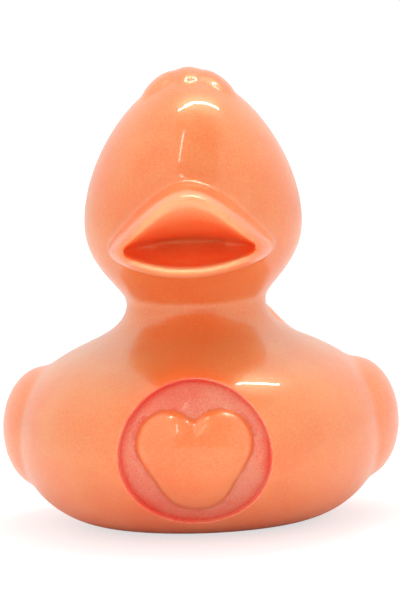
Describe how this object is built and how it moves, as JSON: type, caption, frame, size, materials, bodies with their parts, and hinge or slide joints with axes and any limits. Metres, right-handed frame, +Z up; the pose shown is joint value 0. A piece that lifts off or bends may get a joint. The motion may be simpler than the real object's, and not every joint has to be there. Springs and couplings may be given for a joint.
{
  "type": "rubber duck",
  "caption": "Hollow soft vinyl bath duck with an open bill, tufted crown, side wings and a raised heart in a round chest recess.",
  "frame": {"origin": "middle of the bounding box, in the plane of the flat foot", "axes": "+Z up from the foot to the crown, -Y towards the bill and the heart, +X towards the duck's left wing"},
  "size_m": [0.0782, 0.0859, 0.0894],
  "materials": {
    "vinyl": "glossy pearl orange soft vinyl"
  },
  "bodies": {
    "root": {"duck": "vinyl"}
  },
  "joints": []
}
